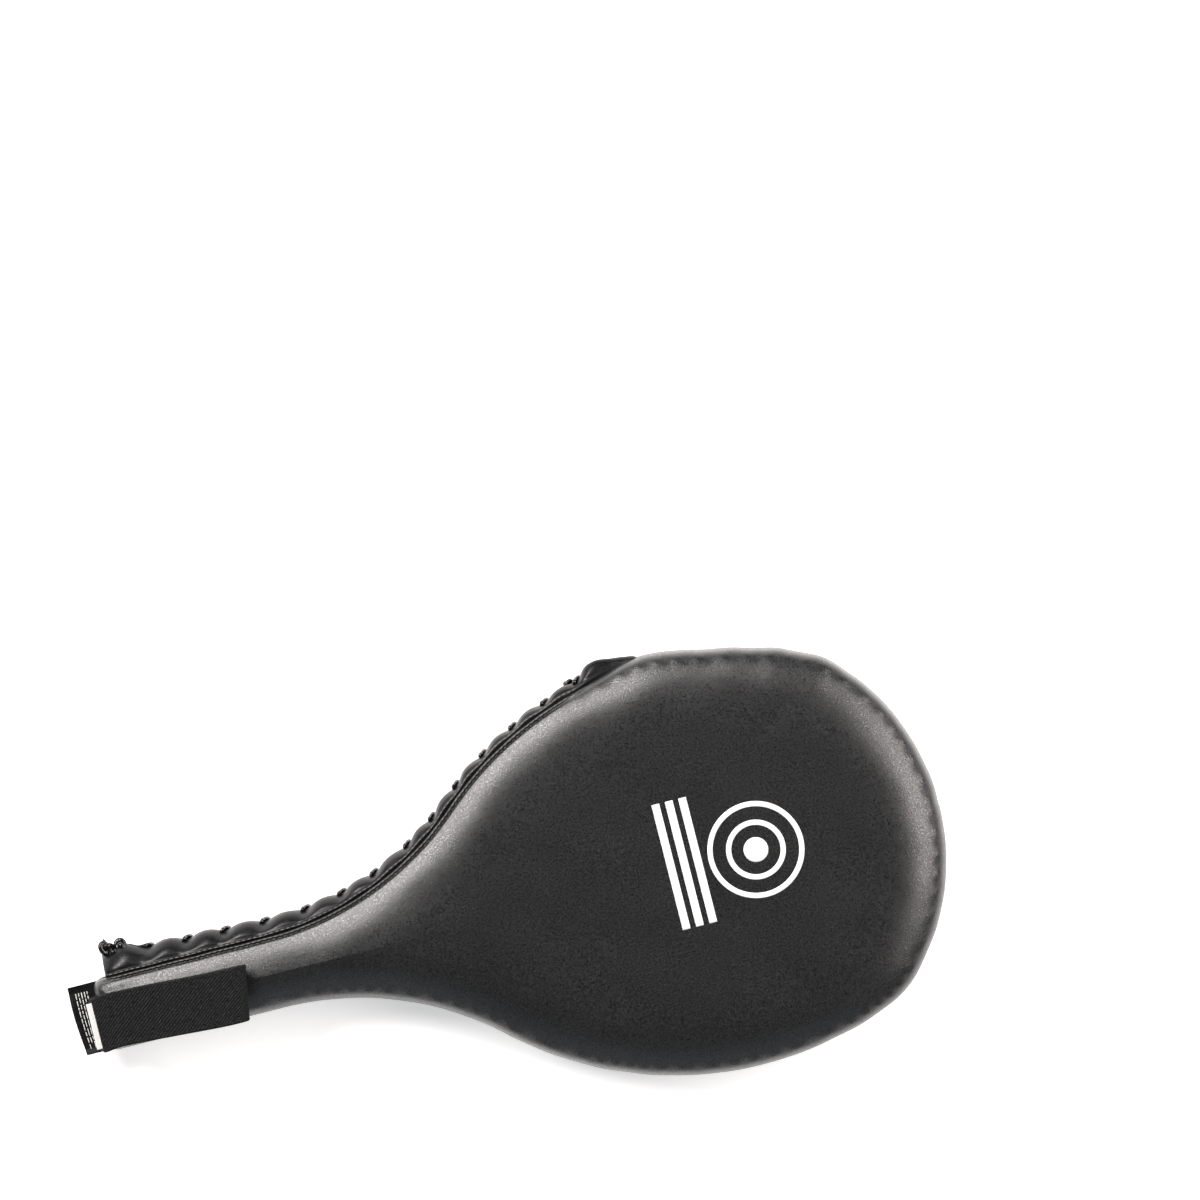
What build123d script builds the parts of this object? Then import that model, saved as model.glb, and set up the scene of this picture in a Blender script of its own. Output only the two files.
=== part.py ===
from build123d import *
from math import cos, radians, sin
import os

# Kick paddle: a racket-shaped foam target with a laced leather cover and an elastic wrist loop.
# Millimetres. +X runs along the paddle towards the tip of the blade, +Y towards the laced edge,
# +Z out of the printed face. The origin is on the flat back face, at the centre of the blade.

# ---- driving dimensions ----
thickness = 36.0
handle_end_x = -287.0
tip_x = 105.7
# the outline from the tip to the handle: three convex arcs, a short straight and the hollow of the neck
tip_radius = 105.0
tip_turn = 43.0
shoulder_radius = 47.0
shoulder_turn = 25.0
flank_radius = 164.0
flank_turn = 64.0
neck_run = 2.4
neck_radius = 141.0
edge_radius = 11.0
end_corner_radius = 11.5

# the cover pulls in at its side seam, so the foam inside stops short of the outline
cover_thickness = 1.2
filling_inset = 6.0
filling_edge_radius = 8.0
filling_corner_radius = 8.2
soft_layer_thickness = 3.0
core_board_thickness = 3.0

# the laced edge: front and back flaps that meet at mid thickness
flap_thickness = 1.6
flap_start_x = -281
flap_end_x = -4
lace_radius = 0.9
lace_gap = 0.05
hole_clearance = 0.15
hole_inset = 2.5
lace_outset = 1.3
lace_corner_radius = 1.2
lace_rest = 0.4
lace_start_inset = 2.5
lace_start_rise = 2.6
lace_lead = 7.5
lace_flap_inset = 1.0
crossing_count = 14
crossing_pitch = 17.5
first_crossing = 23.5
loop_lean = 1.3
lace_edge_points = [
    (flap_start_x, 24.5),
    (-225, 23.4),
    (-186, 24.4),
    (-150, 32.4),
    (-106, 62.4),
    (-76, 82.2),
    (-40, 95.4),
    (-12, 98.4),
]

# sewing threads: the front and back seams lie on the rounded edge, at two angles above level
thread_radius = 0.35
thread_gap = 0.05
seam_angles = (24.0, 35.0)
seam_start_turn = 24.0
seam_end_x = -275.4

# knots in the cord
knot_tilt = (35, 20, 0)
big_knot_radius = 3.4
big_knot_cord = 1.2
big_knot_place = 6.0
big_knot_outset = 5.6
stopper_radius = 1.3
stopper_cord = 0.7
stopper_gap = 3.5
stopper_drop = 1.3

# elastic wrist loop: two layers of webbing, sewn into the handle end and folded over it
strap_width = 25.0
strap_y = -3.0
strap_thickness = 1.2
strap_end_x = -216.5
strap_fold_radius = 3.5
strap_lift = 0.5
strap_hinge_x = -286.1
strap_opening_gap = 7.0
strap_opening_tip = 0.15
strap_hinge_z = thickness + 2.2
root_gap = 0.3
root_foot_z = 19.0
root_bend_z = thickness - edge_radius
root_top_z = thickness + 0.7
root_lean = 2.4
bartack_rows = (20.8, 23.2)
bartack_pitch = 2.6
bartack_count = 9
bartack_size = (0.4, 1.7, 0.5)

# labels at the handle end
label_gap = 0.8
tag_gap = 0.25
care_label_width = 30.5
care_label_reach = 10.8
care_label_thickness = 0.8
care_label_y = 0.5
care_label_z = 16.8
care_line_count = 5
care_line_pitch = 1.7
care_line_size = (0.6, 23.0)
origin_label_length = 21.0
origin_label_reach = 2.5
origin_label_thickness = 0.3
origin_label_drop = 0.7

# printed target mark on the front face
ink_thickness = 0.15
mark_x = 19.6
mark_y = 1.2
ring_radius = 21.9
ring_stroke = 2.4
inner_ring_radius = 13.5
dot_radius = 5.6
bar_x = -13.2
bar_y = 3.0
bar_width = 3.6
bar_pitch = 6.2
bar_length = 58.0
bar_count = 3

mid = thickness / 2
os.makedirs("parts", exist_ok=True)


def blade_end(inset, height, mode=Mode.ADD):
    """The two arcs from the tip to the start of the flank, moved inwards by inset."""
    tip = JernArc((tip_x - inset, 0, height), (0, 1), tip_radius - inset, tip_turn, mode=mode)
    shoulder = JernArc(tip @ 1, tip % 1, shoulder_radius - inset, shoulder_turn, mode=mode)
    return [tip, shoulder]


def flank_to_neck(shoulder, inset, skipped_turn=0.0, mode=Mode.ADD):
    """The flank, the straight and the hollow of the neck, up to the start of the handle."""
    radius = flank_radius - inset
    flank = JernArc(shoulder @ 1, shoulder % 1, radius, flank_turn, mode=Mode.PRIVATE)
    share = skipped_turn / flank_turn
    flank = JernArc(flank @ share, flank % share, radius, flank_turn - skipped_turn, mode=mode)
    straight = Line(flank @ 1, flank @ 1 + neck_run * (flank % 1), mode=mode)
    neck_turn = tip_turn + shoulder_turn + flank_turn - 90
    neck = JernArc(straight @ 1, straight % 1, neck_radius + inset, -neck_turn, mode=mode)
    return [flank, straight, neck]


def half_outline(inset):
    """Draws the +Y half of the racket outline, from tip to handle end, moved inwards by inset."""
    shoulder = blade_end(inset, 0)[-1]
    neck = flank_to_neck(shoulder, inset)[-1]
    corner = max(end_corner_radius - inset, filling_corner_radius)
    handle = Line(neck @ 1, (handle_end_x + inset + corner, (neck @ 1).Y))
    end_corner = JernArc(handle @ 1, (-1, 0), corner, 90)
    Line(end_corner @ 1, (handle_end_x + inset, 0))


def racket(inset, height, edge):
    """A racket-shaped pad, inset all round, with both faces rounded over at their edges."""
    with BuildPart() as pad:
        with BuildSketch(Plane.XY.offset(mid - height / 2)):
            with BuildLine():
                half_outline(inset)
                mirror(about=Plane.XZ)
            make_face()
        extrude(amount=height)
        faces = pad.faces().filter_by(Axis.Z)
        fillet(faces.edges(), radius=edge)
    return pad.part


def slab(low, high):
    """A block across the whole paddle between two heights."""
    with BuildPart() as block:
        with BuildSketch(Plane.XY.offset(low)):
            Rectangle(900, 400)
        extrude(amount=high - low)
    return block.part


def export(builder, name):
    """Labels a finished piece and writes it."""
    builder.part.label = name
    export_step(builder.part, f"parts/{name}.step")


outer = racket(0, thickness, edge_radius)
cavity = racket(cover_thickness, thickness - 2 * cover_thickness, edge_radius - cover_thickness)
filling = racket(filling_inset, thickness - 2 * cover_thickness, filling_edge_radius)
board_low = mid - core_board_thickness / 2
board_high = mid + core_board_thickness / 2
soft_low = cover_thickness + soft_layer_thickness
soft_high = thickness - soft_low

# ---- cover: two leather panels that meet at mid thickness ----
with BuildPart() as front_cover:
    add(outer)
    add(cavity, mode=Mode.SUBTRACT)
    add(slab(mid, thickness + 1), mode=Mode.INTERSECT)
export(front_cover, "front_cover")

with BuildPart() as back_cover:
    add(outer)
    add(cavity, mode=Mode.SUBTRACT)
    add(slab(-1, mid), mode=Mode.INTERSECT)
export(back_cover, "back_cover")

# ---- filling: soft foam, firm foam and a flexible board, as a sandwich ----
layers = {
    "back_soft_layer": (0, soft_low),
    "back_foam": (soft_low, board_low),
    "core_board": (board_low, board_high),
    "front_foam": (board_high, soft_high),
    "front_soft_layer": (soft_high, thickness),
}
for layer_name, (low, high) in layers.items():
    with BuildPart() as layer:
        add(filling)
        add(slab(low, high), mode=Mode.INTERSECT)
    export(layer, layer_name)

# ---- lacing: where the cord crosses the edge of the flaps ----
with BuildLine() as edge_line:
    Spline(*lace_edge_points)
lace_edge = edge_line.edges()[0]
flap_gap = lace_radius + lace_gap
loop_height = flap_gap + flap_thickness + lace_radius + lace_gap


def beside_edge(distance, outwards, height):
    """A point beside the flap's edge: along it, square off it and above mid thickness."""
    share = distance / lace_edge.length
    along = lace_edge.tangent_at(share)
    across = Vector(along.Y, -along.X, 0)
    if across.Y < 0:
        across = -across
    return lace_edge.position_at(share) + across * outwards + Vector(0, 0, mid + height)


crossings = [first_crossing + crossing_pitch * i for i in range(crossing_count)]
big_knot_centre = beside_edge(big_knot_place, big_knot_outset, 0)
stopper_place = crossings[-1] + loop_lean + stopper_gap
stopper_centre = beside_edge(stopper_place, -lace_flap_inset, -loop_height - stopper_drop)

# from the big knot the cord lies on the front flap, then it winds round the edge at each crossing
lace_route = [
    beside_edge(big_knot_place + 1.5, big_knot_outset - lace_start_inset, lace_start_rise),
    beside_edge(first_crossing - lace_lead, -lace_flap_inset, loop_height + lace_rest),
]
for place in crossings:
    if place > first_crossing:
        lace_route.append(beside_edge(place - loop_lean, -hole_inset, 0))
        lace_route.append(beside_edge(place - loop_lean, -hole_inset, loop_height))
    lace_route += [
        beside_edge(place - loop_lean / 2, lace_outset, loop_height),
        beside_edge(place + loop_lean / 2, lace_outset, -loop_height),
        beside_edge(place + loop_lean, -hole_inset, -loop_height),
    ]
    if place < crossings[-1]:
        lace_route.append(beside_edge(place + loop_lean, -hole_inset, 0))
lace_route.append(stopper_centre)

with BuildPart() as lacing_cord:
    with BuildLine() as lace_path:
        FilletPolyline(*lace_route, radius=lace_corner_radius)
    with BuildSketch(Plane(lace_path.line @ 0, z_dir=lace_path.line % 0)):
        Circle(lace_radius)
    sweep()
export(lacing_cord, "lacing_cord")


def knot(centre, radius, cord):
    """A small knot: a round core with one turn of cord standing out round it."""
    with BuildPart() as turns:
        with Locations(Location(centre, knot_tilt)):
            Sphere(radius)
            Torus(radius, cord)
    return turns


export(knot(big_knot_centre, big_knot_radius, big_knot_cord), "handle_end_knot")
export(knot(stopper_centre, stopper_radius, stopper_cord), "far_end_knot")


with BuildPart() as body_prism:
    with BuildSketch():
        with BuildLine():
            half_outline(0)
            mirror(about=Plane.XZ)
        make_face()
    extrude(amount=thickness)
body_block = body_prism.part


def lacing_flap(low, side):
    """A flap along the laced edge, punched where the cord passes through it."""
    with BuildPart() as flap:
        with BuildSketch(Plane.XY.offset(low)):
            with BuildLine():
                edge = Spline(*lace_edge_points)
                Polyline(edge @ 1, (flap_end_x, 92), (flap_end_x, 0), (flap_start_x, 0), edge @ 0)
            make_face()
        extrude(amount=flap_thickness)
        add(body_block, mode=Mode.SUBTRACT)
        with BuildSketch(Plane.XY.offset(low)):
            for crossing in crossings:
                hole = beside_edge(crossing + side * loop_lean, -hole_inset, 0)
                with Locations((hole.X, hole.Y)):
                    Circle(lace_radius + hole_clearance)
        extrude(amount=flap_thickness, mode=Mode.SUBTRACT)
    return flap


front_lacing_flap = lacing_flap(mid + flap_gap, -1)
export(front_lacing_flap, "front_lacing_flap")
back_lacing_flap = lacing_flap(mid - flap_gap - flap_thickness, 1)
export(back_lacing_flap, "back_lacing_flap")


# ---- sewing threads ----
def thread(path_builder):
    """A thread along a path."""
    with BuildPart() as sewn:
        add(path_builder.line)
        with BuildSketch(Plane(path_builder.line @ 0, z_dir=path_builder.line % 0)):
            Circle(thread_radius)
        sweep()
    return sewn


def laced_seam_row(angle, side):
    """One row of thread on the rounded edge beside the flap, above or below mid thickness."""
    reach = edge_radius + thread_radius + thread_gap
    inset = edge_radius - reach * cos(radians(angle))
    rise = mid - edge_radius + reach * sin(radians(angle))
    height = mid + side * rise
    with BuildLine() as row:
        shoulder = blade_end(inset, height, mode=Mode.PRIVATE)[-1]
        neck = flank_to_neck(shoulder, inset, seam_start_turn)[-1]
        Line(neck @ 1, (seam_end_x, (neck @ 1).Y, height))
    return thread(row).part


for seam_name, side in (("front_seam_thread", 1), ("back_seam_thread", -1)):
    with BuildPart() as seam_thread:
        for angle in seam_angles:
            add(laced_seam_row(angle, side))
    export(seam_thread, seam_name)

side_outset = thread_radius + thread_gap
with BuildLine() as side_row:
    laced_end = blade_end(-side_outset, mid)
    closed_end = blade_end(-side_outset, mid, mode=Mode.PRIVATE)
    closed_flank = flank_to_neck(closed_end[-1], -side_outset, mode=Mode.PRIVATE)
    neck_end = closed_flank[-1] @ 1
    closed_handle = Line(neck_end, (seam_end_x, neck_end.Y, mid), mode=Mode.PRIVATE)
    mirror([*closed_end, *closed_flank, closed_handle], about=Plane.XZ)
with BuildPart() as side_seam_thread:
    add(thread(side_row).part)
export(side_seam_thread, "side_seam_thread")

# ---- wrist loop ----
strap_plane = Plane.XZ.offset(-strap_y)
root_x = handle_end_x - root_gap
with BuildPart() as strap_root:
    with BuildSketch(strap_plane):
        with BuildLine():
            Polyline(
                (handle_end_x, root_foot_z),
                (root_x, root_bend_z),
                (root_x + root_lean, root_top_z),
                (root_x + root_lean - 2 * strap_thickness, root_top_z),
                (root_x - 2 * strap_thickness, root_bend_z),
                (root_x - 2 * strap_thickness, root_foot_z),
                close=True,
            )
        make_face()
    extrude(amount=strap_width / 2, both=True)
export(strap_root, "strap_root")

fold_outer = strap_fold_radius + strap_thickness
fold_x = strap_end_x - fold_outer
fold_z = thickness + strap_lift + fold_outer
with BuildPart() as wrist_strap:
    with BuildSketch(strap_plane):
        with Locations((strap_hinge_x, strap_hinge_z)):
            Circle(strap_thickness)
        with Locations((fold_x, fold_z)):
            Circle(fold_outer)
        make_hull()
    extrude(amount=strap_width / 2, both=True)
    with BuildSketch(strap_plane):
        with Locations((strap_hinge_x + strap_opening_gap, strap_hinge_z)):
            Circle(strap_opening_tip)
        with Locations((fold_x, fold_z)):
            Circle(strap_fold_radius)
        make_hull()
    extrude(amount=strap_width / 2, both=True, mode=Mode.SUBTRACT)
export(wrist_strap, "wrist_strap")

tack_x = root_x - 2 * strap_thickness - bartack_size[0] / 2
with BuildPart() as strap_bartack:
    for row_z in bartack_rows:
        with Locations((tack_x, strap_y, row_z)):
            with GridLocations(1, bartack_pitch, 1, bartack_count):
                Box(*bartack_size)
export(strap_bartack, "strap_bartack")

# ---- labels ----
label_hinge_x = handle_end_x - label_gap
label_end_x = label_hinge_x - care_label_reach
with BuildPart() as care_label:
    with BuildSketch(Plane.XZ.offset(-care_label_y)):
        with Locations((label_hinge_x, care_label_z), (label_end_x, care_label_z)):
            Circle(care_label_thickness / 2)
        make_hull()
    extrude(amount=care_label_width / 2, both=True)
export(care_label, "care_label")

with BuildPart() as care_label_lines:
    with BuildSketch(Plane.XY.offset(care_label_z + care_label_thickness / 2)):
        with Locations(((label_hinge_x + label_end_x) / 2, care_label_y)):
            with GridLocations(care_line_pitch, 1, care_line_count, 1):
                Rectangle(*care_line_size)
    extrude(amount=ink_thickness)
export(care_label_lines, "care_label_lines")

tag_x = root_x + root_lean - 2 * strap_thickness - tag_gap
with BuildPart() as origin_label:
    with BuildSketch(Plane.XY.offset(root_top_z - origin_label_drop - origin_label_thickness)):
        with Locations((tag_x - origin_label_reach / 2, strap_y)):
            Rectangle(origin_label_reach, origin_label_length)
    extrude(amount=origin_label_thickness)
export(origin_label, "origin_label")

# ---- printed mark ----
rings = (("print_ring", ring_radius), ("print_inner_ring", inner_ring_radius))
for ring_name, radius in rings:
    with BuildPart() as printed_ring:
        with BuildSketch(Plane.XY.offset(thickness)):
            with Locations((mark_x, mark_y)):
                Circle(radius)
                Circle(radius - ring_stroke, mode=Mode.SUBTRACT)
        extrude(amount=ink_thickness)
    export(printed_ring, ring_name)

with BuildPart() as print_dot:
    with BuildSketch(Plane.XY.offset(thickness)):
        with Locations((mark_x, mark_y)):
            Circle(dot_radius)
    extrude(amount=ink_thickness)
export(print_dot, "print_dot")

with BuildPart() as print_bars:
    with BuildSketch(Plane.XY.offset(thickness)):
        with Locations((bar_x, bar_y)):
            with GridLocations(bar_pitch, 1, bar_count, 1):
                Rectangle(bar_width, bar_length)
    extrude(amount=ink_thickness)
export(print_bars, "print_bars")
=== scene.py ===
from math import cos, pi, radians, sin, sqrt, tau

import bmesh
import bpy
import numpy as np
from mathutils import Matrix, Vector


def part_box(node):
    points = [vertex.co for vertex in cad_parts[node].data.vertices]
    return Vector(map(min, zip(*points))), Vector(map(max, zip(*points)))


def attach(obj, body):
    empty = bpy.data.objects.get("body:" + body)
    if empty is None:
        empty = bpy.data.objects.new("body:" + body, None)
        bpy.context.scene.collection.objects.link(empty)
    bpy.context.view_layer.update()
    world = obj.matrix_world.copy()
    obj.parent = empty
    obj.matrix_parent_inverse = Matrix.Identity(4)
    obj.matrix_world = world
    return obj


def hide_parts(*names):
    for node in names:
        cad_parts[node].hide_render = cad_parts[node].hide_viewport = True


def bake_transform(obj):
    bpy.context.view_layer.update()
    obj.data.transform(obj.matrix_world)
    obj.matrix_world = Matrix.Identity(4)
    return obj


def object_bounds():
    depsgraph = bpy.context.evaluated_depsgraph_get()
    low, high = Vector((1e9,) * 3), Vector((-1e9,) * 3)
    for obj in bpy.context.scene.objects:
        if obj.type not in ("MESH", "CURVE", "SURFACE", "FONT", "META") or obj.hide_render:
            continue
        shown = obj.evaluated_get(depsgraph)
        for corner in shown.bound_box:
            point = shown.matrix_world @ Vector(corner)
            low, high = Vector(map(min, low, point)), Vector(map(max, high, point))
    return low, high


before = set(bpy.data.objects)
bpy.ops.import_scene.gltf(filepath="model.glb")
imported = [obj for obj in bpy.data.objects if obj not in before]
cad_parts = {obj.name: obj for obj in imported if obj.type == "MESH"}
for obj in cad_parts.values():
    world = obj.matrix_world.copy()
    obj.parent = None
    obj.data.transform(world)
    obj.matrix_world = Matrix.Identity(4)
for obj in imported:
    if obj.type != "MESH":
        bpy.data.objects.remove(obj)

cad_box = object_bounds()

# A kick paddle: a racket-shaped pad with a laced leather cover and an elastic wrist loop.
# Lengths are in millimetres and become metres when a mesh is made. +X runs to the blade's tip,
# +Y to the laced edge, +Z out of the printed face.
MM = 0.001


def cad(node):
    """The lowest and highest corner of a CAD node, in millimetres."""
    low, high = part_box(node)
    return np.array(low) / MM, np.array(high) / MM


cover_low, cover_high = cad("front_cover")
TIP_X, END_X = cover_high[0], cover_low[0]
FACE_Z, MID_Z = cover_high[2], cover_low[2]

# ---- the outline in plan: tangent arcs (radius, turn) from the tip to the handle
OUTLINE_ARCS = [(105, 43), (47, 25), (164, 64), (141, -42)]
END_CORNER = 5.0
OUTLINE_POINTS = 1000
POINT_SPACING = 1.05
BULGE_X, BULGE_REACH, BULGE_OUT = -9.0, 21.0, 3.6
FACET_HEIGHT, FACET_LENGTH = 0.22, 26
MEDIAL_TIP = 0.7
MEDIAL_END = END_X + 14.0
FRONT_SEED, BACK_SEED = 11, 23

# ---- the roll of the cover from its edge to the flat face: (distance in, height above mid)
CLOSED_ROLL = [
    (0, 0.2), (0.3, 2.8), (0.7, 5.4), (1.1, 7.2), (1.6, 8.6), (2.2, 9.7), (2.9, 10.6),
    (3.9, 11.5), (5, 12.3), (6.2, 13.05), (7.6, 13.8), (9.5, 14.65), (12, 15.55), (15, 16.35),
    (19, 17.05), (24, 17.5), (31, 17.78), (42, 17.93), (60, 18), (120, 18),
]
LACED_ROLL = [
    (0, 11.6), (1.5, 12.4), (4, 13.65), (7, 14.95), (11, 16.15), (16, 17.0), (24, 17.6),
    (36, 17.9), (60, 18), (120, 18),
]
EDGE_RINGS = [
    0, 0.2, 0.4, 0.6, 0.8, 1.0, 1.25, 1.5, 1.75, 2.0, 2.3, 2.7, 3.2, 3.7, 4.2, 4.7, 5.3, 6.0,
    6.8, 7.8, 9.0, 10.5, 12.2, 14.2, 16.6, 19.6, 23.5,
]
INNER_RINGS = 12
FILLING_RINGS = [5.4, 6.2, 7.4, 9.0, 11.5, 15, 21, 30]
CORE_HALF, SOFT_LAYER = 1.5, 3.0
LAYER_GAP, FILLING_GAP = 0.1, 0.45
COVER_SKIN = 0.9
WELD = 0.02
STITCH = 2.6

# ---- relief of the cover near its edge: height, distance in, spread
COVER_RIDGE = [(0.75, 0.65, 0.42), (-0.6, 1.7, 0.5)]
GATHER_HEIGHT, GATHERS, GATHER_PITCH = 0.35, (3.2, 2.4), 11
PUCKER_HEIGHT, PUCKERS = 0.26, (2.7, 0.95)
PULL_DEPTH = 1.3
CREASE_X, CREASE_Y, CREASE_COS, CREASE_SIN = 42.0, 56.0, 0.8, 0.6
CREASE_LENGTH, CREASE_WIDTH, CREASE_DEPTH = 14, 3.0, 0.2

# ---- the laced edge: the flaps' width along X, then their relief as above
FLAP_WIDTHS = [
    (-288, 8.8), (-281, 9.6), (-277, 12.6), (-270, 12.4), (-264, 9.9), (-256, 9.2), (-225, 8.2),
    (-186, 7.0), (-150, 5.2), (-106, 3.9), (-75, 3.5), (-45, 3.9), (-39, 4.2), (-36.5, 5.4),
    (-34, 6.6), (-28, 6.4), (-20, 4.7), (-15, 2.6), (-11, 0.8), (-7, -0.3), (-4, -0.6),
]
FLAP_START_X, FLAP_END_X = -280.3, -4.0
FLAP_SEAM_ROWS = [0, 0.2, 0.4, 0.6, 0.8, 1.0, 1.2, 1.45, 1.7, 2.0, 2.4, 2.9]
FLAP_ROWS = 18
FLAP_SKIN = 1.1
FLAP_TUCK = 3.0
FLAP_BOW = 0.75
FLAP_LAP = 0.5
FLAP_RIDGE = [(0.7, 1.25, 0.42), (-0.3, 2.3, 0.5), (-0.4, 0.35, 0.35)]
LOBE_LEAN, BACK_PHASE = 5.5, 0.12
LOBE_PUFF, LOBE_PINCH = 1.25, 0.3
HOLE_INSET = 3.1
FACING_END_X, FACING_INSET = -263.0, 1.5
GUSSET_X, GUSSET_FOLD = -279.2, 1.8
CROSSINGS, CROSSING_SCATTER = 14, 0.9
FIRST_CROSSING_X, LAST_CROSSING_X = -257.8, -39.0
LACE_RADIUS = 0.95
KNOT_FIRST, KNOT_SECOND = (-1.2, -1.6, 3.4), (5.0, -2.0, 3.2)

# ---- labels and print
LABEL_WIDTH, SATIN = 31.8, 0.24
LABEL_BARS = [
    (0.2, 0.9, 0.5), (1.6, 1.0, 0.36), (2.9, 0.85, 0.36), (4.2, 1.0, 0.36), (5.5, 0.7, 0.36),
    (6.7, 0.92, 0.36),
]
BAR_REACH, BAR_THICKNESS = 12.4, 0.09
TAG_THICKNESS = 0.16
INK = 0.06
RING_STROKE = 2.4
DISC_GRID = (6, 180)
PRINT_BARS, PRINT_BAR_WIDTH = 3, 3.6

rng = np.random.default_rng(7)


# ---- small tools
def smooth_table(points, soft):
    """(input, output) points as a smooth curve: straight runs rounded by a moving bell."""
    x, y = np.array(points, float).T
    step, margin = 0.1, 8
    grid = np.arange(x[0] - margin, x[-1] + margin, step)
    slope = (y[1] - y[0]) / (x[1] - x[0])
    value = np.where(grid < x[0], y[0] + (grid - x[0]) * slope, np.interp(grid, x, y))
    weights = np.exp(-0.5 * (np.arange(-4 * soft, 4 * soft + step, step) / soft) ** 2)
    pad = len(weights) // 2
    value = np.pad(value, pad, mode="edge")
    value = np.convolve(value, weights / weights.sum(), mode="same")[pad:-pad]
    return lambda x: np.interp(x, grid, value)


def smoothstep(x, low, high):
    """0 up to low, 1 from high on, and a smooth rise between."""
    t = np.clip((x - low) / (high - low), 0, 1)
    return t * t * (3 - 2 * t)


def bell(x, middle, spread):
    return np.exp(-(((x - middle) / spread) ** 2))


def ridges(x, relief):
    return sum(height * bell(x, middle, spread) for height, middle, spread in relief)


def unit(rows):
    """Rows of vectors brought to unit length."""
    return rows / np.linalg.norm(rows, axis=1)[:, None]


def ripple(x, y, wavelength, seed):
    """Smooth seeded unevenness of about unit height over the plane."""
    pick = np.random.default_rng(seed)
    total, waves = 0.0, 7
    for _ in range(waves):
        angle = pick.uniform(0, tau)
        length = wavelength * pick.uniform(0.7, 1.5)
        phase = pick.uniform(0, tau)
        along = x * cos(angle) + y * sin(angle)
        total = total + np.sin(along * tau / length + phase)
    return total / sqrt(waves)


def along_of(points):
    """The distance along a polyline at each of its points."""
    steps = np.linalg.norm(np.diff(points, axis=0), axis=1)
    return np.concatenate([[0], np.cumsum(steps)])


def sampled(points, run, want):
    """Points interpolated at the wanted distances. run is the distance at each given point."""
    return np.stack([np.interp(want, run, column) for column in np.asarray(points).T], axis=1)


def curve_through(points, spacing):
    """A smooth open curve through points, sampled at an even spacing (Catmull-Rom)."""
    p = np.array(points, float)
    p = np.vstack([2 * p[0] - p[1], p, 2 * p[-1] - p[-2]])
    dense = []
    t = np.linspace(0, 1, 24, endpoint=False)[:, None]
    for a, b, c, d in zip(p[:-3], p[1:-2], p[2:-1], p[3:]):
        dense.append(0.5 * (2 * b + (c - a) * t + (2 * a - 5 * b + 4 * c - d) * t**2
                            + (3 * b - a - 3 * c + d) * t**3))
    dense = np.vstack(dense + [p[-2:-1]])
    run = along_of(dense)
    count = max(2, int(round(run[-1] / spacing)) + 1)
    return sampled(dense, run, np.linspace(0, run[-1], count))


def add_object(name, data):
    obj = bpy.data.objects.new(name, data)
    bpy.context.scene.collection.objects.link(obj)
    return obj


def mesh_object(name, verts, faces, uv=None):
    """A smooth-shaded mesh object. uv is one pair per vertex. Both are in millimetres."""
    mesh = bpy.data.meshes.new(name)
    mesh.from_pydata((np.asarray(verts, float) * MM).tolist(), [], faces)
    if uv is not None:
        layer = mesh.uv_layers.new(name="sewn")
        index = np.zeros(len(mesh.loops), np.int32)
        mesh.loops.foreach_get("vertex_index", index)
        spots = np.asarray(uv, float)[index] * MM
        layer.data.foreach_set("uv", spots.ravel().astype(np.float32))
    mesh.polygons.foreach_set("use_smooth", [True] * len(mesh.polygons))
    return add_object(name, mesh)


def grid_faces(rows, columns, wrap=False, flip=False):
    """Quads over a grid of vertices stored row by row. wrap joins the last column to the first."""
    faces = []
    for r in range(rows - 1):
        for c in range(columns if wrap else columns - 1):
            a, b = r * columns + c, r * columns + (c + 1) % columns
            d, e = a + columns, b + columns
            faces.append((a, d, e, b) if flip else (a, b, e, d))
    return faces


def weld(obj):
    """Merges vertices that lie almost together."""
    bm = bmesh.new()
    bm.from_mesh(obj.data)
    bmesh.ops.remove_doubles(bm, verts=bm.verts, dist=WELD * MM)
    bmesh.ops.dissolve_degenerate(bm, dist=0.001 * MM, edges=bm.edges)
    bm.to_mesh(obj.data)
    bm.free()
    return obj


def thicken(obj, thickness):
    """Gives a sheet its thickness, inwards from the side that it shows."""
    modifier = obj.modifiers.new("skin", "SOLIDIFY")
    modifier.thickness = thickness * MM
    modifier.offset = -1
    graph = bpy.context.evaluated_depsgraph_get()
    done = bpy.data.meshes.new_from_object(obj.evaluated_get(graph))
    obj.modifiers.clear()
    old, obj.data = obj.data, done
    bpy.data.meshes.remove(old)
    return obj


def tube(name, path, radius, sides, taper=None):
    """A closed round tube along a path of 3-D points. taper scales the radius at each point."""
    path = np.asarray(path, float)
    tangent = unit(np.gradient(path, axis=0))
    side = np.cross(tangent[0], (0.31, 0.22, 0.93))
    angle = np.linspace(0, tau, sides, endpoint=False)[:, None]
    rings = []
    for i, t in enumerate(tangent):
        side = side - t * np.dot(side, t)
        side /= np.linalg.norm(side)
        scale = radius * (1 if taper is None else taper[i])
        rings.append(path[i] + scale * (np.cos(angle) * side + np.sin(angle) * np.cross(t, side)))
    count, cap = len(path), radius * 0.4
    verts = np.vstack(rings + [path[:1] - tangent[:1] * cap, path[-1:] + tangent[-1:] * cap])
    faces = grid_faces(count, sides, wrap=True, flip=True)
    first = count * sides
    base, last = first - sides, first + 1
    for k in range(sides):
        faces.append((first, (k + 1) % sides, k))
        faces.append((last, base + k, base + (k + 1) % sides))
    run = along_of(path)
    uv = [(run[i], k * tau * radius / sides) for i in range(count) for k in range(sides)]
    return mesh_object(name, verts, [f[::-1] for f in faces], uv + [(0, 0), (run[-1], 0)])


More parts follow.
